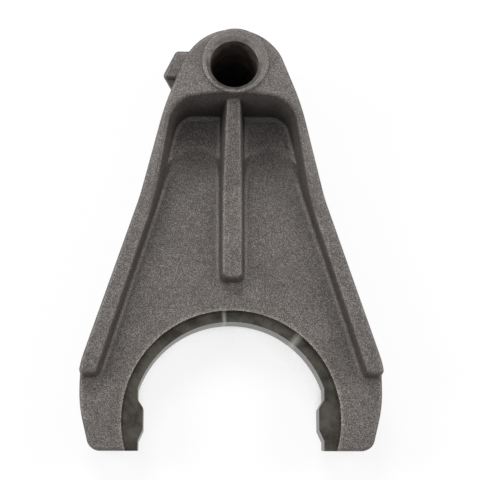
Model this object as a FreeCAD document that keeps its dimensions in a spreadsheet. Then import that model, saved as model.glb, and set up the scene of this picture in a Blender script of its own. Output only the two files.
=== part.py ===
import FreeCAD, Part
import math
import os
import Sketcher
from FreeCAD import Placement, Rotation, Vector

# Shift fork of a transfer case: one steel forging that slides on a shift rail.
# The rail bore is the Z axis, the legs reach towards -Y and the back lies flat on Z = 0.
# Lengths are in millimetres and angles in degrees.
# The word after each size says what it measures.
sizes = {
    # machined rail bore and the boss around it
    "bore_dia": 19.05,
    "bore_lead": 1.5,
    "hub_length": 50.0,
    "collar_wall": 3.775,
    "collar_rise": 1.5,
    "collar_shift_side": 0.5,
    "collar_shift_up": 1.2,
    # plan outline of the forging round the boss, measured from the rail axis
    "crown_wall": 11.875,
    "crown_sink": 6.6,
    "shoulder_flare": 5.6,
    "shoulder_drop": 13.5,
    "knee_flare": 9.4,
    "knee_fall": 33.5,
    "bend_rad": 80.0,
    # plan outline of the legs, measured from the axis of the fork opening
    "leg_wall": 16.6,
    "hip_above": 19.4,
    "hip_rad": 36.0,
    "toe_above": 5.4,
    "toe_rad": 50.0,
    "toe_taper": 4.3,
    "toe_round": 5.0,
    "tip_below": 12.1,
    # side view of the flanks
    "part_height": 16.0,
    "back_inset": 1.2,
    # levels above the flat back
    "web_level": 21.0,
    "rib_rise": 8.5,
    # sloping shoulders beside the boss
    "roof_start": 12.5,
    "roof_run": 46.3,
    "roof_swing": 33.7,
    "roof_round": 8.0,
    # pockets between the ribs
    "rib_base": 7.4,
    "shoulder_wall": 5.2,
    "pocket_clear": 1.5,
    "pocket_round": 8.0,
    "pocket_draft": 7.0,
    "rib_tail": 3.0,
    "rib_end_round": 2.6,
    # centre rib
    "spine_base": 4.8,
    "spine_ridge": 2.8,
    "spine_clear": 11.0,
    "spine_bury": 0.3,
    "spine_fall": 8.4,
    "spine_corner": 2.4,
    # fork opening and the machined tongue
    "arc_drop": 136.9,
    "arc_dia": 78.0,
    "tongue_depth": 4.3,
    "tongue_thick": 12.5,
    "tongue_back": 5.5,
    # pads at the tips
    "throat_step": 2.0,
    "throat_above": 8.1,
    "pad_height": 2.15,
    "pad_above": 4.7,
    "pad_below": 3.9,
    "tip_step": 0.2,
    "tip_ramp": 4.3,
    # lug on the left flank
    "lug_stand": 1.9,
    "lug_lean": 6.5,
    "lug_bottom": 2.9,
    "lug_width": 12.7,
    "lug_thick": 19.5,
    "lug_round": 2.0,
    # forged edges
    "rim_round": 1.4,
    "lip_round": 1.5,
    "foot_round": 2.2,
    "collar_round": 1.0,
    "back_round": 0.8,
}

# Places that follow from the sizes.
follows = {
    "plateau_level": "hub_length - collar_rise",
    "rib_level": "web_level + rib_rise",
    "collar_dia": "bore_dia + collar_wall + collar_wall",
    "crown_rad": "half bore_dia + crown_wall",
    "shoulder_half": "crown_rad + shoulder_flare",
    "knee_half": "shoulder_half + knee_flare",
    "knee_drop": "shoulder_drop + knee_fall",
    "recess_rad": "half arc_dia + tongue_depth",
    "recess_dia": "recess_rad + recess_rad",
    "leg_half": "recess_rad + leg_wall",
    "hip_drop": "arc_drop - hip_above",
    "toe_start": "arc_drop - toe_above",
    "toe_half": "leg_half - toe_taper",
    "leg_drop": "arc_drop + tip_below",
    "far_off": "leg_drop + leg_drop",
    "pocket_top": "half collar_dia + pocket_clear",
    "pocket_half": "shoulder_half - shoulder_wall",
    "rib_end_drop": "hip_drop + rib_tail",
    "spine_root": "pocket_top - spine_bury",
    "spine_root_level": "hub_length - spine_fall",
    "spine_end_drop": "arc_drop - recess_rad - spine_clear",
    "tongue_front": "tongue_back + tongue_thick",
    "throat_half": "half arc_dia - throat_step",
    "throat_drop": "arc_drop - throat_above",
    "pad_half": "throat_half - pad_height",
    "pad_start": "arc_drop - pad_above",
    "pad_end": "arc_drop + pad_below",
    "tip_half": "throat_half - tip_step",
    "tip_start": "pad_end + tip_ramp",
    "lug_reach": "crown_rad + lug_stand",
    "lug_foot_reach": "lug_reach + lug_lean",
    "lug_top": "lug_bottom + lug_width",
}

doc = FreeCAD.newDocument("ShiftFork")
sheet = doc.addObject("Spreadsheet::Sheet", "sizes")
for row, (name, number) in enumerate(sizes.items(), start=1):
    sheet.set("A%d" % row, name)
    sheet.set("B%d" % row, str(number))
    sheet.setAlias("B%d" % row, name)
doc.recompute()


def amount(terms):
    """Number for a sum of named sizes and places, such as "half bore_dia + crown_wall"."""
    total = 0.0
    share = 1.0
    for word in terms.split():
        if word == "+":
            share = 1.0
        elif word == "-":
            share = -1.0
        elif word == "half":
            share /= 2
        else:
            total += share * (sizes[word] if word in sizes else amount(follows[word]))
    return total


def formula(terms):
    """The same sum as an expression on the sheet."""
    signs = {"+": "+", "-": "-", "half": "0.5 *"}
    words = []
    for word in terms.split():
        if word in signs:
            words.append(signs[word])
        elif word in sizes:
            words.append("sizes." + word)
        else:
            words.append("(" + formula(follows[word]) + ")")
    return " ".join(words)


def bind(feature, prop, terms):
    feature.setExpression(prop, formula(terms))


def base_plane(body, role):
    for plane in body.Origin.OriginFeatures:
        if plane.Role == role:
            return plane
    raise ValueError("no plane " + role)


def new_sketch(body, name, role, height=None):
    """Sketch on one of the body's own planes, lifted by a named height."""
    sketch = body.newObject("Sketcher::SketchObject", name)
    sketch.AttachmentSupport = [(base_plane(body, role), "")]
    sketch.MapMode = "FlatFace"
    if height:
        sketch.AttachmentOffset = Placement(Vector(0, 0, amount(height)), Rotation())
        sketch.setExpression("AttachmentOffset.Base.z", formula(height))
    return sketch


def pin(sketch, geo, end, axis, side, terms):
    """Hold one coordinate of a point at side times a named size."""
    if side == 0:
        sketch.addConstraint(Sketcher.Constraint("PointOnObject", geo, end, -2 if axis == "X" else -1))
        return
    ends = (-1, 1, geo, end) if side > 0 else (geo, end, -1, 1)
    index = sketch.addConstraint(Sketcher.Constraint("Distance" + axis, *ends, amount(terms)))
    sketch.setExpression("Constraints[%d]" % index, formula(terms))


def set_radius(sketch, geo, terms):
    index = sketch.addConstraint(Sketcher.Constraint("Radius", geo, amount(terms)))
    sketch.setExpression("Constraints[%d]" % index, formula(terms))


def set_diameter(sketch, geo, terms):
    index = sketch.addConstraint(Sketcher.Constraint("Diameter", geo, amount(terms)))
    sketch.setExpression("Constraints[%d]" % index, formula(terms))


def place_of(corner):
    side_x, across, side_y, along = corner[:4]
    x = side_x * amount(across) if side_x else 0.0
    y = side_y * amount(along) if side_y else 0.0
    return Vector(x, y, 0)


def both_sides(half):
    """Corners of the right half, then the same corners mirrored to the left."""
    right = [(1,) + corner for corner in half]
    left = [(-1,) + corner for corner in reversed(half)]
    return right + left


def tangents_meet(before, centre, radius, after):
    """Where the tangents from two places to one circle meet, on the far side of it."""
    leans = []
    for place, turn in ((before, 1), (after, -1)):
        towards = centre - place
        swing = turn * math.asin(radius / towards.Length)
        leans.append(Rotation(Vector(0, 0, 1), math.degrees(swing)).multVec(towards))
    first, last = leans
    along = (after - before).cross(last).z / first.cross(last).z
    return before + first * along


def draw_profile(sketch, corners):
    """Closed outline through named corners, each sharp or rounded by a named radius.

    A corner is (side, size across, side, size along, radius or nothing).
    With "centre" at its end, the place is the middle of its arc instead.
    """
    count = len(corners)
    places = [place_of(corner) for corner in corners]
    for k in range(count):
        if corners[k][-1] == "centre":
            neighbours = places[k - 1], places[(k + 1) % count]
            places[k] = tangents_meet(neighbours[0], places[k], amount(corners[k][4]), neighbours[1])
    starts = []
    stops = []
    for k in range(count):
        here = places[k]
        before = (places[k - 1] - here).normalize()
        after = (places[(k + 1) % count] - here).normalize()
        rounding = corners[k][4] if len(corners[k]) > 4 else None
        if rounding is None:
            stops.append((here, None))
            starts.append(here)
            continue
        half_angle = before.getAngle(after) / 2
        reach = amount(rounding) / math.tan(half_angle)
        middle = here + (before + after).normalize() * (amount(rounding) / math.sin(half_angle))
        stops.append((here + before * reach, middle))
        starts.append(here + after * reach)
    lines = []
    for k in range(count):
        end_point = stops[(k + 1) % count][0]
        lines.append(sketch.addGeometry(Part.LineSegment(starts[k], end_point), False))
    for k in range(count):
        side_x, across, side_y, along = corners[k][:4]
        into, out = lines[k - 1], lines[k]
        middle = stops[k][1]
        if middle is None:
            sketch.addConstraint(Sketcher.Constraint("Coincident", into, 2, out, 1))
            pin(sketch, out, 1, "X", side_x, across)
            pin(sketch, out, 1, "Y", side_y, along)
            continue
        first = stops[k][0] - middle
        last = starts[k] - middle
        start_angle = math.atan2(first.y, first.x)
        stop_angle = math.atan2(last.y, last.x)
        turns_left = first.cross(last).z > 0
        if not turns_left:
            start_angle, stop_angle = stop_angle, start_angle
        circle = Part.Circle(middle, Vector(0, 0, 1), first.Length)
        arc = sketch.addGeometry(Part.ArcOfCircle(circle, start_angle, stop_angle), False)
        joint_in, joint_out = (1, 2) if turns_left else (2, 1)
        sketch.addConstraint(Sketcher.Constraint("Tangent", into, 2, arc, joint_in))
        sketch.addConstraint(Sketcher.Constraint("Tangent", out, 1, arc, joint_out))
        set_radius(sketch, arc, corners[k][4])
        if corners[k][-1] == "centre":
            pin(sketch, arc, 3, "X", side_x, across)
            pin(sketch, arc, 3, "Y", side_y, along)
            continue
        point = sketch.addGeometry(Part.Point(places[k]), True)
        sketch.addConstraint(Sketcher.Constraint("PointOnObject", point, 1, into))
        sketch.addConstraint(Sketcher.Constraint("PointOnObject", point, 1, out))
        pin(sketch, point, 1, "X", side_x, across)
        pin(sketch, point, 1, "Y", side_y, along)


def draw_circle(sketch, centre, across):
    """Full circle about a named centre."""
    circle = sketch.addGeometry(Part.Circle(place_of(centre), Vector(0, 0, 1), amount(across) / 2), False)
    side_x, shift_x, side_y, shift_y = centre
    pin(sketch, circle, 3, "X", side_x, shift_x)
    pin(sketch, circle, 3, "Y", side_y, shift_y)
    set_diameter(sketch, circle, across)


def draw_mouth(sketch):
    """Arch on the tongue's circle, with straight jambs that step in to the pads."""
    centre = place_of((0, "", -1, "arc_drop"))
    radius = amount("half arc_dia")
    jamb_half = amount("throat_half")
    rise = math.sqrt(radius ** 2 - jamb_half ** 2)
    lean = math.atan2(rise, jamb_half)
    circle = Part.Circle(centre, Vector(0, 0, 1), radius)
    arch = sketch.addGeometry(Part.ArcOfCircle(circle, lean, math.pi - lean), False)
    pin(sketch, arch, 3, "X", 0, "")
    pin(sketch, arch, 3, "Y", -1, "arc_drop")
    set_diameter(sketch, arch, "arc_dia")
    jamb = [
        ("throat_half", -1, "throat_drop"),
        ("pad_half", -1, "pad_start"),
        ("pad_half", -1, "pad_end"),
        ("tip_half", -1, "tip_start"),
        ("tip_half", -1, "leg_drop + toe_round"),
    ]
    last_points = []
    for side, arch_end in ((1, 1), (-1, 2)):
        before = (arch, arch_end)
        here = centre + Vector(side * jamb_half, rise, 0)
        for across, down, along in jamb:
            there = place_of((side, across, down, along))
            line = sketch.addGeometry(Part.LineSegment(here, there), False)
            sketch.addConstraint(Sketcher.Constraint("Coincident", line, 1, *before))
            pin(sketch, line, 2, "X", side, across)
            pin(sketch, line, 2, "Y", down, along)
            if before == (arch, arch_end):
                sketch.addConstraint(Sketcher.Constraint("Vertical", line))
            before = (line, 2)
            here = there
        last_points.append((before, here))
    (right_end, right_place), (left_end, left_place) = last_points
    sill = sketch.addGeometry(Part.LineSegment(right_place, left_place), False)
    sketch.addConstraint(Sketcher.Constraint("Coincident", sill, 1, *right_end))
    sketch.addConstraint(Sketcher.Constraint("Coincident", sill, 2, *left_end))


def add_pad(body, sketch, name, length):
    pad = body.newObject("PartDesign::Pad", name)
    pad.Profile = sketch
    bind(pad, "Length", length)
    doc.recompute()
    return pad


def add_cut(body, sketch, name, length=None, upwards=True, both_ways=False):
    before = body.Tip.Shape.Volume
    cut = body.newObject("PartDesign::Pocket", name)
    cut.Profile = sketch
    cut.Reversed = upwards
    if length is None:
        cut.Type = "ThroughAll"
    else:
        bind(cut, "Length", length)
    cut.Midplane = both_ways
    doc.recompute()
    if not cut.Shape.Volume < before - 1.0:
        raise ValueError(name + " cuts nothing")
    return cut


def edges_where(shape, wanted):
    """Names of the edges that pass a test."""
    return ["Edge%d" % k for k, edge in enumerate(shape.Edges, start=1) if wanted(edge)]


def faces_where(shape, wanted):
    """Names of the faces that pass a test."""
    return ["Face%d" % k for k, face in enumerate(shape.Faces, start=1) if wanted(face)]


def is_bore_mouth(edge):
    at_front = abs(edge.CenterOfMass.z - sizes["hub_length"]) < 1e-3
    return at_front and edge.isClosed() and abs(edge.Length - math.pi * sizes["bore_dia"]) < 1e-3


def tilt_of(face):
    """Upward part of a face's outward normal, at the middle of the face."""
    low_u, high_u, low_v, high_v = face.ParameterRange
    return face.normalAt((low_u + high_u) / 2, (low_v + high_v) / 2).z


def is_floor(face):
    return tilt_of(face) > 0.999 and abs(face.CenterOfMass.z - sizes["web_level"]) < 0.01


def is_level(face):
    return tilt_of(face) > 0.999


def is_roof(face):
    return 0.7 < tilt_of(face) < 0.98


def is_top(face):
    return tilt_of(face) > 0.7 and face.BoundBox.ZMin > amount("rib_level") - 0.1


def is_upper(face):
    return tilt_of(face) > 0.05


def is_drafted(face):
    return 0.05 < tilt_of(face) < 0.5


def is_vertical(face):
    return abs(tilt_of(face)) < 0.05


def is_back(face):
    return tilt_of(face) < -0.9


def is_flank(face):
    return -0.3 < tilt_of(face) < 0.05


def is_spine_corner(edge):
    """The two steep edges at the lower end of the centre rib."""
    box = edge.BoundBox
    at_end = abs(box.YMin + amount("spine_end_drop")) < 1e-3
    return at_end and box.ZMin > sizes["web_level"] - 1e-3 and box.ZLength > sizes["rib_rise"] / 2


def is_lug_side(face):
    centre = face.CenterOfMass
    on_flank = centre.x < -amount("crown_rad") and centre.y > 0
    return is_vertical(face) and on_flank and centre.z < sizes["lug_thick"]


def is_collar_top(face):
    return is_level(face) and face.CenterOfMass.z > amount("hub_length - half collar_rise")


def meets(shape, edge, first, second):
    """Whether an edge lies between a face that passes one test and a face that passes the other."""
    faces = shape.ancestorsOfType(edge, Part.Face)
    if len(faces) != 2:
        return False
    one, other = faces
    return (first(one) and second(other)) or (first(other) and second(one))


def add_draft(body, name, angle):
    """Lean every wall that still stands upright on the web away from it."""
    carrier = body.Tip
    walls = faces_where(
        carrier.Shape,
        lambda face: is_vertical(face) and abs(face.BoundBox.ZMin - sizes["web_level"]) < 1e-3,
    )
    draft = body.newObject("PartDesign::Draft", name)
    draft.Base = (carrier, walls)
    draft.NeutralPlane = (carrier, faces_where(carrier.Shape, is_floor)[:1])
    bind(draft, "Angle", angle)
    doc.recompute()


def add_fillet(body, name, edges, radius):
    carrier = body.Tip
    fillet = body.newObject("PartDesign::Fillet", name)
    fillet.Base = (carrier, edges)
    bind(fillet, "Radius", radius)
    doc.recompute()


def round_between(name, first, second, radius):
    """Fillet every edge where the two kinds of face meet."""
    shape = body.Tip.Shape
    add_fillet(body, name, edges_where(shape, lambda edge: meets(shape, edge, first, second)), radius)


body = doc.addObject("PartDesign::Body", "fork_body")
body.Label = "shift_fork"

# Plan outline, padded to the level of the plateau round the boss.
outline = new_sketch(body, "outline", "XY_Plane")
draw_profile(
    outline,
    [(0, "", -1, "crown_sink", "crown_rad", "centre")]
    + both_sides(
        [
            ("shoulder_half", -1, "shoulder_drop", "bend_rad"),
            ("knee_half", -1, "knee_drop", "bend_rad"),
            ("leg_half", -1, "hip_drop", "hip_rad"),
            ("leg_half", -1, "toe_start", "toe_rad"),
            ("toe_half", -1, "leg_drop", "toe_round"),
        ]
    ),
)
blank = add_pad(body, outline, "blank", "plateau_level")

# The lower die half leans the flanks inwards from the parting line to the back.
back_edges = edges_where(blank.Shape, lambda edge: edge.BoundBox.ZMax < 1e-4)
lower_draft = body.newObject("PartDesign::Chamfer", "lower_draft")
lower_draft.Base = (blank, back_edges)
lower_draft.ChamferType = "Two distances"
bind(lower_draft, "Size", "part_height")
bind(lower_draft, "Size2", "back_inset")
doc.recompute()

# Shoulders fall away from the boss, outwards and towards the legs, like a roof.
roof_side = new_sketch(body, "roof_side", "XZ_Plane")
roof_side.AttachmentOffset = Placement(Vector(), Rotation(Vector(0, 1, 0), -sizes["roof_swing"]))
draw_profile(
    roof_side,
    [
        (1, "roof_start", 1, "plateau_level"),
        (1, "roof_start + roof_run", 1, "rib_level"),
        (1, "far_off", 1, "rib_level"),
        (1, "far_off", 1, "hub_length"),
        (1, "roof_start", 1, "hub_length"),
    ],
)
right_roof = add_cut(body, roof_side, "right_roof", "far_off", both_ways=True)
left_roof = body.newObject("PartDesign::Mirrored", "left_roof")
left_roof.Originals = [right_roof]
left_roof.MirrorPlane = (base_plane(body, "YZ_Plane"), [""])
body.Tip = left_roof
doc.recompute()

round_between("soft_ridges", is_level, is_roof, "roof_round")

# Floor between the side ribs and over the legs, deep under the boss and open at the toes.
floor_plan = new_sketch(body, "floor_plan", "XY_Plane", "web_level")
draw_profile(
    floor_plan,
    both_sides(
        [
            ("pocket_half", -1, "pocket_top", "pocket_round"),
            ("knee_half - rib_base", -1, "knee_drop", "bend_rad"),
            ("leg_half - rib_base", -1, "rib_end_drop", "rib_end_round"),
            ("far_off", -1, "rib_end_drop"),
            ("far_off", -1, "far_off"),
        ]
    ),
)
add_cut(body, floor_plan, "floor_cut", "hub_length - web_level")
add_draft(body, "leaning_walls", "pocket_draft")

# The centre rib runs down from the boss to the level of the side ribs.
spine_section = new_sketch(body, "spine_section", "XZ_Plane")
draw_profile(
    spine_section,
    both_sides(
        [
            ("spine_ridge", 1, "spine_root_level"),
            ("spine_base", 1, "web_level"),
        ]
    ),
)
add_pad(body, spine_section, "spine", "spine_end_drop")
spine_side = new_sketch(body, "spine_side", "YZ_Plane")
draw_profile(
    spine_side,
    [
        (-1, "leg_drop", 1, "rib_level"),
        (-1, "knee_drop", 1, "rib_level"),
        (-1, "spine_root", 1, "spine_root_level"),
        (-1, "leg_drop", 1, "hub_length + hub_length"),
    ],
)
add_cut(body, spine_side, "spine_cut", "spine_base + spine_base", both_ways=True)
add_draft(body, "leaning_end", "pocket_draft")
add_fillet(body, "spine_corners", edges_where(body.Tip.Shape, is_spine_corner), "spine_corner")

# Blends of the forging: feet of the walls, lips of the pockets, rim of the outline.
round_between("feet", is_floor, is_drafted, "foot_round")
round_between("lips", is_top, is_drafted, "lip_round")
round_between("rims", is_upper, is_vertical, "rim_round")
round_between("back_rims", is_back, is_flank, "back_round")

# Raised collar of the boss, as forged a little off the machined bore.
collar_plan = new_sketch(body, "collar_plan", "XY_Plane", "web_level")
draw_circle(collar_plan, (1, "collar_shift_side", 1, "collar_shift_up"), "collar_dia")
add_pad(body, collar_plan, "collar", "hub_length - web_level")

# Lug on the left flank.
lug_plan = new_sketch(body, "lug_plan", "XY_Plane")
draw_profile(
    lug_plan,
    [
        (-1, "lug_reach", 1, "lug_top", "lug_round"),
        (-1, "lug_foot_reach", 1, "lug_bottom", "lug_round"),
        (-1, "lug_round", 1, "lug_bottom"),
        (-1, "lug_round", 1, "lug_top"),
    ],
)
add_pad(body, lug_plan, "lug", "lug_thick")

round_between("lug_rims", is_level, is_lug_side, "lug_round")
round_between("collar_rim", is_collar_top, is_vertical, "collar_round")

# Machined recesses either side of the tongue, on one centre with the fork opening.
front_plan = new_sketch(body, "front_plan", "XY_Plane", "tongue_front")
draw_circle(front_plan, (0, "", -1, "arc_drop"), "recess_dia")
add_cut(body, front_plan, "front_recess", "hub_length")
back_plan = new_sketch(body, "back_plan", "XY_Plane", "tongue_back")
draw_circle(back_plan, (0, "", -1, "arc_drop"), "recess_dia")
add_cut(body, back_plan, "back_recess", "hub_length", upwards=False)

# Fork opening: an arch over the sleeve groove, closing in to a pad near each tip.
mouth_plan = new_sketch(body, "mouth_plan", "XY_Plane")
draw_mouth(mouth_plan)
add_cut(body, mouth_plan, "mouth")

# Rail bore, with a lead at the collar end.
bore_plan = new_sketch(body, "bore_plan", "XY_Plane")
draw_circle(bore_plan, (0, "", 0, ""), "bore_dia")
bore = add_cut(body, bore_plan, "bore", "hub_length + hub_length")
lead = body.newObject("PartDesign::Chamfer", "lead")
lead.Base = (bore, edges_where(bore.Shape, is_bore_mouth))
bind(lead, "Size", "bore_lead")
doc.recompute()

failed = [item.Name for item in doc.Objects if "Invalid" in item.State or "Error" in item.State]
if failed:
    raise ValueError("failed features: " + ", ".join(failed))
shape = body.Shape
if shape.isNull() or not shape.isValid():
    raise ValueError("shift_fork is not a valid solid")
os.makedirs("parts", exist_ok=True)
shape.exportStep("parts/shift_fork.step")
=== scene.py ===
import math
import bpy
import bmesh
from mathutils import Matrix, Vector


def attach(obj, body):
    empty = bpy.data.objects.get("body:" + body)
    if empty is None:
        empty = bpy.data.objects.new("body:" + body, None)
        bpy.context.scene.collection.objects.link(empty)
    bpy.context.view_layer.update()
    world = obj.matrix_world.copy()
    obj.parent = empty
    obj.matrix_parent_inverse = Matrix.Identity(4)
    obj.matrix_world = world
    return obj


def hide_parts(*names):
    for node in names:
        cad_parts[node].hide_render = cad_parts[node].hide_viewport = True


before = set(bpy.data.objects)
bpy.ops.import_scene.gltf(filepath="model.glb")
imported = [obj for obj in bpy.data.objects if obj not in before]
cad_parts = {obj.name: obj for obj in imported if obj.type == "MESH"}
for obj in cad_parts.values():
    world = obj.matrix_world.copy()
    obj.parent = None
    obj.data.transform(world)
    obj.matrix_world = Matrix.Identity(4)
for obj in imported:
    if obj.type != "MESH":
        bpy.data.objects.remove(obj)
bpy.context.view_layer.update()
print("frame loaded")

black = (0.0, 0.0, 0.0, 1.0)
bare = (1.0, 1.0, 1.0, 1.0)
hollowSamples = 8


def newMaterial(name):
    material = bpy.data.materials.new(name)
    material.use_nodes = True
    tree = material.node_tree
    tree.nodes.clear()
    output = tree.nodes.new("ShaderNodeOutputMaterial")
    shader = tree.nodes.new("ShaderNodeBsdfPrincipled")
    tree.links.new(shader.outputs["BSDF"], output.inputs["Surface"])
    coords = tree.nodes.new("ShaderNodeTexCoord")
    return material, tree, shader, coords.outputs["Object"]


def addNoise(tree, coords, scale, detail, rough):
    noise = tree.nodes.new("ShaderNodeTexNoise")
    noise.inputs["Scale"].default_value = scale
    noise.inputs["Detail"].default_value = detail
    noise.inputs["Roughness"].default_value = rough
    tree.links.new(coords, noise.inputs["Vector"])
    return noise.outputs["Fac"]


def addRamp(tree, factor, places, colours):
    ramp = tree.nodes.new("ShaderNodeValToRGB")
    elements = ramp.color_ramp.elements
    while len(elements) < len(places):
        elements.new(0.5)
    for element, place, colour in zip(elements, places, colours):
        element.position = place
        element.color = colour
    tree.links.new(factor, ramp.inputs["Fac"])
    return ramp.outputs["Color"]


def addBump(tree, height, depth, before=None):
    bump = tree.nodes.new("ShaderNodeBump")
    bump.inputs["Strength"].default_value = 1.0
    bump.inputs["Distance"].default_value = depth
    tree.links.new(height, bump.inputs["Height"])
    if before is not None:
        tree.links.new(before, bump.inputs["Normal"])
    return bump.outputs["Normal"]


def mixColours(tree, factor, first, second, mode="MIX"):
    mix = tree.nodes.new("ShaderNodeMix")
    mix.data_type = "RGBA"
    mix.blend_type = mode
    if isinstance(factor, float):
        mix.inputs["Factor"].default_value = factor
    else:
        tree.links.new(factor, mix.inputs["Factor"])
    tree.links.new(first, mix.inputs["A"])
    tree.links.new(second, mix.inputs["B"])
    return mix.outputs["Result"]


def addMath(tree, operation, first, second=None):
    step = tree.nodes.new("ShaderNodeMath")
    step.operation = operation
    for socket, value in zip(step.inputs, (first, second)):
        if isinstance(value, float):
            socket.default_value = value
        elif value is not None:
            tree.links.new(value, socket)
    return step.outputs["Value"]


def splitPlace(tree, place):
    split = tree.nodes.new("ShaderNodeSeparateXYZ")
    tree.links.new(place, split.inputs["Vector"])
    return split.outputs


def addHollows(tree, reach, inside=False):
    # 0 deep in a corner and 1 in the open, or from inside the metal 0 at an edge and 1 on the flat
    hollows = tree.nodes.new("ShaderNodeAmbientOcclusion")
    hollows.samples = hollowSamples
    hollows.inside = inside
    hollows.inputs["Distance"].default_value = reach
    return hollows.outputs["AO"]


def addLevelness(tree):
    # 1 on a level face and 0 on an upright wall, so that the painted shade in hollows spares level
    # floors
    geometry = tree.nodes.new("ShaderNodeNewGeometry")
    return addMath(tree, "ABSOLUTE", splitPlace(tree, geometry.outputs["Normal"])["Z"])


def addParting(tree, coords, look):
    # 1 on the thin seam that runs round the flanks
    height = splitPlace(tree, coords)["Z"]
    away = addMath(tree, "ABSOLUTE", addMath(tree, "SUBTRACT", height, look["partingHeight"]))
    near = addMath(tree, "DIVIDE", away, look["partingHalf"])
    return addMath(tree, "MAXIMUM", addMath(tree, "SUBTRACT", 1.0, near), 0.0)


# each noise has its scale, detail and roughness, and each span is where its two tones lie
castingLook = {
    "dark": (0.024, 0.0216, 0.0202, 1.0),
    "mid": (0.084, 0.076, 0.072, 1.0),
    "pale": (0.222, 0.204, 0.194, 1.0),
    "roughness": 0.52,
    "metallic": 0.35,
    "grainNoise": (2700.0, 2.0, 0.6),
    "grainSpan": (0.33, 0.50, 0.68),
    "grainDepth": 0.00007,
    "pitNoise": (560.0, 3.0, 0.6),
    "pitSpan": (0.34, 0.62),
    "pitTones": ((0.84, 0.83, 0.83, 1.0), (1.08, 1.07, 1.07, 1.0)),
    "pitDepth": 0.00010,
    "blotchNoise": (55.0, 4.0, 0.55),
    "blotchSpan": (0.30, 0.70),
    "blotchTones": ((0.86, 0.85, 0.84, 1.0), (1.12, 1.11, 1.10, 1.0)),
    "hollowReach": 0.018,           # painted shade: walls darken towards the bottom of hollows this deep
    "hollowSpan": (0.38, 0.80),
    "hollowShadeTone": (0.16, 0.15, 0.155, 1.0),
    "floorShare": 0.70,             # and a level floor keeps at least this much of its openness from the painted shade
    "cornerReach": 0.0022,          # painted highlight on the feet of the walls
    "cornerSpan": (0.30, 0.85),
    "footHighlightTone": (1.35, 1.33, 1.32, 1.0),
    "edgeReach": 0.0019,            # painted highlight on rims and lips
    "edgeSpan": (0.45, 0.95),
    "rimHighlightTone": (2.1, 2.06, 2.04, 1.0),
    "partingHeight": 0.016,         # where the two halves of the die met
    "partingHalf": 0.00045,
    "partingDepth": 0.00015,
}


def makeCasting(look):
    # shot-blasted skin: a fine speckle over slow blotches, with painted shade in the hollows and
    # painted highlights at the feet of the walls and on the edges
    material, tree, shader, coords = newMaterial("blastedCasting")
    grain = addNoise(tree, coords, *look["grainNoise"])
    pits = addNoise(tree, coords, *look["pitNoise"])
    blotch = addNoise(tree, coords, *look["blotchNoise"])
    colour = addRamp(tree, grain, look["grainSpan"], (look["dark"], look["mid"], look["pale"]))
    levelness = addMath(tree, "MULTIPLY", addLevelness(tree), look["floorShare"])
    # painted shade: darker towards the bottom of hollows, kept lighter on level floors
    hollowShadeOpenness = addMath(tree, "MAXIMUM", addHollows(tree, look["hollowReach"]), levelness)
    # painted highlight: the feet of the walls are lightened
    footHighlight = addHollows(tree, look["cornerReach"])
    # painted highlight: rims and lips are lightened
    rimHighlight = addHollows(tree, look["edgeReach"], True)
    layers = (
        addRamp(tree, blotch, look["blotchSpan"], look["blotchTones"]),
        addRamp(tree, pits, look["pitSpan"], look["pitTones"]),
        addRamp(tree, hollowShadeOpenness, look["hollowSpan"], (look["hollowShadeTone"], bare)),
        addRamp(tree, footHighlight, look["cornerSpan"], (look["footHighlightTone"], bare)),
        addRamp(tree, rimHighlight, look["edgeSpan"], (look["rimHighlightTone"], bare)),
    )
    for layer in layers:
        colour = mixColours(tree, 1.0, colour, layer, "MULTIPLY")
    tree.links.new(colour, shader.inputs["Base Color"])
    normal = addBump(tree, pits, look["pitDepth"])
    normal = addBump(tree, grain, look["grainDepth"], normal)
    normal = addBump(tree, addParting(tree, coords, look), look["partingDepth"], normal)
    tree.links.new(normal, shader.inputs["Normal"])
    shader.inputs["Roughness"].default_value = look["roughness"]
    shader.inputs["Metallic"].default_value = look["metallic"]
    return material


machinedLook = {
    "dark": (0.034, 0.031, 0.026, 1.0),
    "mid": (0.080, 0.074, 0.063, 1.0),
    "pale": (0.24, 0.229, 0.204, 1.0),
    "roughness": 0.33,
    "metallic": 0.85,
    "ringScale": 380.0,
    "ringDistortion": 0.6,
    "ringDetail": 2.0,
    "ringDepth": 0.00002,
    "glintBands": {94.0: 1.6, 51.0: 3.0},      # painted highlight streaks across the rings: angle and half width
    "stainNoise": (190.0, 5.0, 0.6),
    "stainSpan": (0.35, 0.62),
}


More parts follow.
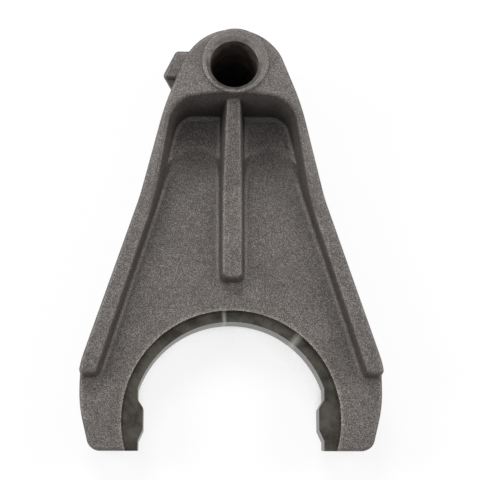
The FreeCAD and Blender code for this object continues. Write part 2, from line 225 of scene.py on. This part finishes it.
def makeMachined(look, centre):
    # turned faces: fine rings about the centre of the fork opening, crossed by a few painted highlight
    # streaks
    material, tree, shader, coords = newMaterial("turnedTongue")
    shift = tree.nodes.new("ShaderNodeMapping")
    shift.inputs["Location"].default_value = (-centre[0], -centre[1], 0.0)
    tree.links.new(coords, shift.inputs["Vector"])
    place = splitPlace(tree, shift.outputs["Vector"])
    rings = tree.nodes.new("ShaderNodeTexWave")
    rings.wave_type = "RINGS"
    rings.rings_direction = "Z"
    rings.inputs["Scale"].default_value = look["ringScale"]
    rings.inputs["Distortion"].default_value = look["ringDistortion"]
    rings.inputs["Detail"].default_value = look["ringDetail"]
    tree.links.new(shift.outputs["Vector"], rings.inputs["Vector"])
    angle = addMath(tree, "ARCTAN2", place["Y"], place["X"])
    paintedGlint = 0.0
    for middle, halfWidth in look["glintBands"].items():
        away = addMath(tree, "ABSOLUTE", addMath(tree, "SUBTRACT", angle, math.radians(middle)))
        near = addMath(tree, "SUBTRACT", 1.0, addMath(tree, "DIVIDE", away, math.radians(halfWidth)))
        paintedGlint = addMath(tree, "MAXIMUM", paintedGlint, near)
    stain = addNoise(tree, coords, *look["stainNoise"])
    colour = addRamp(tree, stain, look["stainSpan"], (look["dark"], look["mid"]))
    pale = tree.nodes.new("ShaderNodeRGB")
    pale.outputs["Color"].default_value = look["pale"]
    # painted highlight: the pale streaks stand for reflections across the turned rings
    colour = mixColours(tree, paintedGlint, colour, pale.outputs["Color"])
    tree.links.new(colour, shader.inputs["Base Color"])
    tree.links.new(addBump(tree, rings.outputs["Fac"], look["ringDepth"]), shader.inputs["Normal"])
    shader.inputs["Roughness"].default_value = look["roughness"]
    shader.inputs["Metallic"].default_value = look["metallic"]
    return material


boreLook = {
    "name": "boredWall",
    "dark": (0.10, 0.082, 0.078, 1.0),
    "pale": (0.30, 0.25, 0.24, 1.0),
    "roughness": 0.40,
    "metallic": 0.6,
    "stainNoise": (260.0, 5.0, 0.6),
    "stainSpan": (0.35, 0.70),
    "stainDepth": 0.00002,
}

leadLook = {
    "name": "boreLead",
    "dark": (0.10, 0.092, 0.086, 1.0),
    "pale": (0.22, 0.205, 0.195, 1.0),
    "roughness": 0.36,
    "metallic": 0.7,
    "stainNoise": (500.0, 5.0, 0.6),
    "stainSpan": (0.35, 0.70),
    "stainDepth": 0.00002,
}


def makeBored(look):
    material, tree, shader, coords = newMaterial(look["name"])
    stain = addNoise(tree, coords, *look["stainNoise"])
    colour = addRamp(tree, stain, look["stainSpan"], (look["dark"], look["pale"]))
    tree.links.new(colour, shader.inputs["Base Color"])
    tree.links.new(addBump(tree, stain, look["stainDepth"]), shader.inputs["Normal"])
    shader.inputs["Roughness"].default_value = look["roughness"]
    shader.inputs["Metallic"].default_value = look["metallic"]
    return material


def share(value, low, high):
    # 0 at low, 1 at high, straight between
    return min(max((value - low) / (high - low), 0.0), 1.0)


# the forged floor curves up a little under the boss, to a bowed crest in each pocket
crestSizes = {
    "floorLevel": 0.0210,
    "margin": 0.0001,
    "fadeLevel": 0.0310,            # the walls above this stay where they are
    "rise": 0.0036,
    "start": 0.0352,                # how far below the bore the climb starts, in the middle of a pocket
    "length": 0.0076,
    "bow": 0.0042,                  # how much lower it starts beside the walls
    "bowReach": 0.0090,
    "middle": 0.0146,               # half way across a pocket
    "farHalf": 0.0300,
    "wallPlace": 0.0110,
    "sliceAlong": 0.0009,
    "sliceAcross": 0.0018,
}


def raisePocketFloor(work, crest):
    lowest = crest["start"] + 2 * crest["bow"]
    bottom = crest["floorLevel"] - crest["margin"]

    def inPocket(place):
        across = abs(place.x) < crest["farHalf"]
        along = crest["wallPlace"] < -place.y < lowest
        return across and along and bottom < place.z < crest["fadeLevel"]

    def reachesPocket(face):
        xs, ys, zs = zip(*(corner.co for corner in face.verts))
        across = min(abs(x) for x in xs) < crest["farHalf"]
        along = min(ys) < -crest["wallPlace"] and max(ys) > -lowest
        return across and along and min(zs) < crest["fadeLevel"] and max(zs) > bottom

    def sliceAt(place, way):
        faces = [face for face in work.faces if reachesPocket(face)]
        edges = {edge for face in faces for edge in face.edges}
        corners = {corner for face in faces for corner in face.verts}
        bmesh.ops.bisect_plane(work, geom=[*corners, *edges, *faces], plane_co=place, plane_no=way)

    along = lowest
    while along > crest["start"] - crest["length"] - crest["sliceAlong"]:
        sliceAt((0.0, -along, 0.0), (0.0, 1.0, 0.0))
        along -= crest["sliceAlong"]
    across = -crest["farHalf"]
    while across < crest["farHalf"]:
        sliceAt((across, 0.0, 0.0), (1.0, 0.0, 0.0))
        across += crest["sliceAcross"]
    for corner in work.verts:
        if not inPocket(corner.co):
            continue
        aside = (abs(corner.co.x) - crest["middle"]) / crest["bowReach"]
        start = crest["start"] + crest["bow"] * aside * aside
        climb = share(-corner.co.y, start, start - crest["length"]) ** 2
        fade = share(corner.co.z, crest["fadeLevel"], crest["floorLevel"])
        corner.co.z += crest["rise"] * climb * fade


# the lug leans in towards its back, as the die half lets it go
lugSizes = {
    "low": 0.0020,
    "high": 0.0160,
    "thick": 0.0195,
    "rootReach": 0.0205,
    "tipReach": 0.0298,
    "lean": 0.0040,
}


def leanLug(work, lug):
    for corner in work.verts:
        if lug["low"] < corner.co.y < lug["high"] and corner.co.z < lug["thick"]:
            outwards = share(-corner.co.x, lug["rootReach"], lug["tipReach"])
            corner.co.x += lug["lean"] * outwards * share(corner.co.z, lug["thick"], 0.0)


# where the machined faces lie on the fork, in metres, and how its mesh is cleaned and shaded
forkSizes = {
    "arcCentre": (0.0, -0.1369),    # centre of the fork opening
    "turnedRadius": 0.0436,         # just past the step round the tongue
    "boreRadius": 0.0096,
    "leadRadius": 0.0112,           # outer edge of the lead at the mouth of the bore
    "weld": 1e-6,
    "sliver": 5e-5,                 # thinner triangles than this only spoil the shading
    "sharpAngle": 32.0,             # degrees, past which an edge stays crisp
    "flatWeight": 100,              # how far the large flat faces rule the shading
}
castingFinish, turnedFinish, boreFinish, leadFinish = range(4)


def finishOf(centre, sizes):
    fromArc = math.hypot(centre.x - sizes["arcCentre"][0], centre.y - sizes["arcCentre"][1])
    fromBore = math.hypot(centre.x, centre.y)
    if fromArc < sizes["turnedRadius"]:
        return turnedFinish
    if fromBore < sizes["boreRadius"]:
        return boreFinish
    if fromBore < sizes["leadRadius"]:
        return leadFinish
    return castingFinish


def makeFork(node, sizes):
    # the CAD mesh is loose triangles, so a welded copy is what can be shaded smoothly
    mesh = node.data.copy()
    mesh.name = "forkMesh"
    mesh.materials.clear()
    for material in (
        makeCasting(castingLook),
        makeMachined(machinedLook, sizes["arcCentre"]),
        makeBored(boreLook),
        makeBored(leadLook),
    ):
        mesh.materials.append(material)
    work = bmesh.new()
    work.from_mesh(mesh)
    bmesh.ops.remove_doubles(work, verts=work.verts, dist=sizes["weld"])
    raisePocketFloor(work, crestSizes)
    leanLug(work, lugSizes)
    bmesh.ops.remove_doubles(work, verts=work.verts, dist=sizes["sliver"])
    bmesh.ops.dissolve_degenerate(work, edges=work.edges, dist=sizes["sliver"])
    sharp = math.radians(sizes["sharpAngle"])
    for edge in work.edges:
        edge.smooth = len(edge.link_faces) == 2 and edge.calc_face_angle(0.0) < sharp
    for face in work.faces:
        face.smooth = True
        face.material_index = finishOf(face.calc_center_median(), sizes)
    work.to_mesh(mesh)
    work.free()
    fork = bpy.data.objects.new("forkSkin", mesh)
    bpy.context.scene.collection.objects.link(fork)
    shading = fork.modifiers.new("flatFacesStayFlat", "WEIGHTED_NORMAL")
    shading.keep_sharp = True
    shading.weight = sizes["flatWeight"]
    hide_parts(node.name)
    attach(fork, "root")


makeFork(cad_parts["shift_fork"], forkSizes)
print("fork finished")


def addSeen(tree):
    # 1 for what the lens, the metal or glass sees, 0 for the light that falls on the fork
    path = tree.nodes.new("ShaderNodeLightPath")
    seen = addMath(tree, "ADD", path.outputs["Is Camera Ray"], path.outputs["Is Glossy Ray"])
    seen = addMath(tree, "ADD", seen, path.outputs["Is Transmission Ray"])
    return addMath(tree, "MINIMUM", seen, 1.0)


floorLook = {
    "size": 4.0,
    "colour": (0.90, 0.90, 0.90, 1.0),
    "roughness": 0.9,
    "whiteShare": 0.85,             # how much of the plain white backdrop shows over the lit floor
    "shadeReach": 0.05,             # painted shade: the floor's colour and backdrop stay dark down a hole as deep as this
    "shadeSpan": (0.20, 0.36),
}


def makeFloor(look):
    half = look["size"] / 2
    corners = [(-half, -half, 0.0), (half, -half, 0.0), (half, half, 0.0), (-half, half, 0.0)]
    mesh = bpy.data.meshes.new("floorMesh")
    mesh.from_pydata(corners, [], [(0, 1, 2, 3)])
    floor = bpy.data.objects.new("floor", mesh)
    bpy.context.scene.collection.objects.link(floor)
    material, tree, shader, coords = newMaterial("paleFloor")
    shader.inputs["Roughness"].default_value = look["roughness"]
    # painted shade: the floor goes black down holes such as the bore, in its colour and in its white
    # backdrop
    holeShade = addHollows(tree, look["shadeReach"])
    colour = addRamp(tree, holeShade, look["shadeSpan"], (black, look["colour"]))
    tree.links.new(colour, shader.inputs["Base Color"])
    opened = addRamp(tree, holeShade, look["shadeSpan"], (black, bare))
    white = addMath(tree, "MULTIPLY", addSeen(tree), look["whiteShare"])
    backdrop = tree.nodes.new("ShaderNodeEmission")
    mix = tree.nodes.new("ShaderNodeMixShader")
    output = next(node for node in tree.nodes if node.type == "OUTPUT_MATERIAL")
    tree.links.new(addMath(tree, "MULTIPLY", white, opened), mix.inputs[0])
    tree.links.new(shader.outputs["BSDF"], mix.inputs[1])
    tree.links.new(backdrop.outputs["Emission"], mix.inputs[2])
    tree.links.new(mix.outputs["Shader"], output.inputs["Surface"])
    mesh.materials.append(material)


makeFloor(floorLook)
print("floor laid")

# camera, lamps and the field round them, in metres and watts
cameraPlace = {
    "stand": (-0.0183, -0.1756, 0.5660),
    "aim": (0.0042, -0.0607, 0.0),
    "lens": 103.5,
    "nearest": 0.01,
}
lampAim = (0.0, -0.06, 0.0)
lampPlaces = {
    "keyLamp": {"stand": (-0.21, 0.82, 0.92), "size": 0.52, "power": 9.0},
    "leftLamp": {"stand": (-0.56, 0.00, 0.40), "size": 0.30, "power": 2.3},
    "rightLamp": {"stand": (0.56, 0.02, 0.40), "size": 0.30, "power": 2.0},
}
fieldStrength = 0.40


def aimAt(thing, stand, aim):
    # the thing's own up stays in the plane of the fork's long axis
    ahead = (Vector(aim) - Vector(stand)).normalized()
    right = ahead.cross(Vector((0.0, 1.0, 0.0))).normalized()
    up = right.cross(ahead)
    turn = Matrix((right, up, -ahead)).transposed()
    thing.matrix_world = Matrix.Translation(stand) @ turn.to_4x4()


def makeCamera(place):
    camera = bpy.data.objects.new("camera", bpy.data.cameras.new("camera"))
    bpy.context.scene.collection.objects.link(camera)
    camera.data.lens = place["lens"]
    camera.data.clip_start = place["nearest"]
    aimAt(camera, place["stand"], place["aim"])
    bpy.context.scene.camera = camera


def makeLamp(name, place):
    lamp = bpy.data.lights.new(name, "AREA")
    lamp.shape = "DISK"
    lamp.size = place["size"]
    lamp.energy = place["power"]
    holder = bpy.data.objects.new(name, lamp)
    bpy.context.scene.collection.objects.link(holder)
    aimAt(holder, place["stand"], lampAim)


def makeWorld(strength):
    # an even grey field lights the fork, and what the lens or the metal sees of it is white
    world = bpy.data.worlds.new("studio")
    bpy.context.scene.world = world
    world.use_nodes = True
    tree = world.node_tree
    tree.nodes.clear()
    field = tree.nodes.new("ShaderNodeBackground")
    field.inputs["Strength"].default_value = strength
    backdrop = tree.nodes.new("ShaderNodeBackground")
    for background in (field, backdrop):
        background.inputs["Color"].default_value = bare
    mix = tree.nodes.new("ShaderNodeMixShader")
    output = tree.nodes.new("ShaderNodeOutputWorld")
    tree.links.new(addSeen(tree), mix.inputs[0])
    tree.links.new(field.outputs["Background"], mix.inputs[1])
    tree.links.new(backdrop.outputs["Background"], mix.inputs[2])
    tree.links.new(mix.outputs["Shader"], output.inputs["Surface"])


makeCamera(cameraPlace)
for lampName, lampPlace in lampPlaces.items():
    makeLamp(lampName, lampPlace)
makeWorld(fieldStrength)
bpy.context.scene.view_settings.view_transform = "Standard"
print("studio ready")
